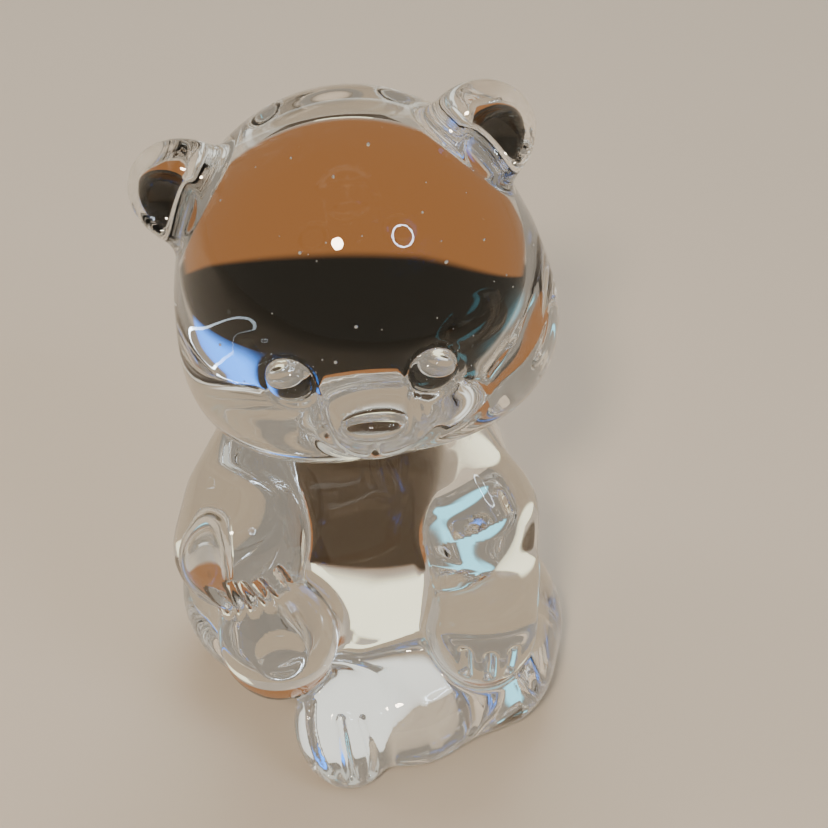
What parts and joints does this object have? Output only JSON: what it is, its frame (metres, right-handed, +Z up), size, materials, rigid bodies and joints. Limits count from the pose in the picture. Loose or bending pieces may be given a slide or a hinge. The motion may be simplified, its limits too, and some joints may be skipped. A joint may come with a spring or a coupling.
{
  "type": "glass bear cub figurine",
  "caption": "Solid clear crystal bear cub, seated on a flat ground base with its head tilted, one paw and one foot raised and the other leg along the floor.",
  "frame": {"origin": "on the flat ground base, under the torso's axis", "axes": "+Z up, the bear faces -Y, its left side is +X"},
  "size_m": [0.052, 0.0513, 0.0894],
  "materials": {
    "crystal": "fire-polished clear crystal with a few fine seed bubbles"
  },
  "bodies": {
    "root": {"torso": "crystal", "haunch_right": "crystal", "haunch_left": "crystal", "leg_left": "crystal", "foot_left": "crystal", "leg_right": "crystal", "foot_right": "crystal", "arm_left": "crystal", "paw_left": "crystal", "arm_right": "crystal", "paw_right": "crystal", "head": "crystal", "muzzle": "crystal", "nose": "crystal", "eye_right": "crystal", "eye_left": "crystal", "ear_right": "crystal", "ear_left": "crystal"}
  },
  "joints": []
}
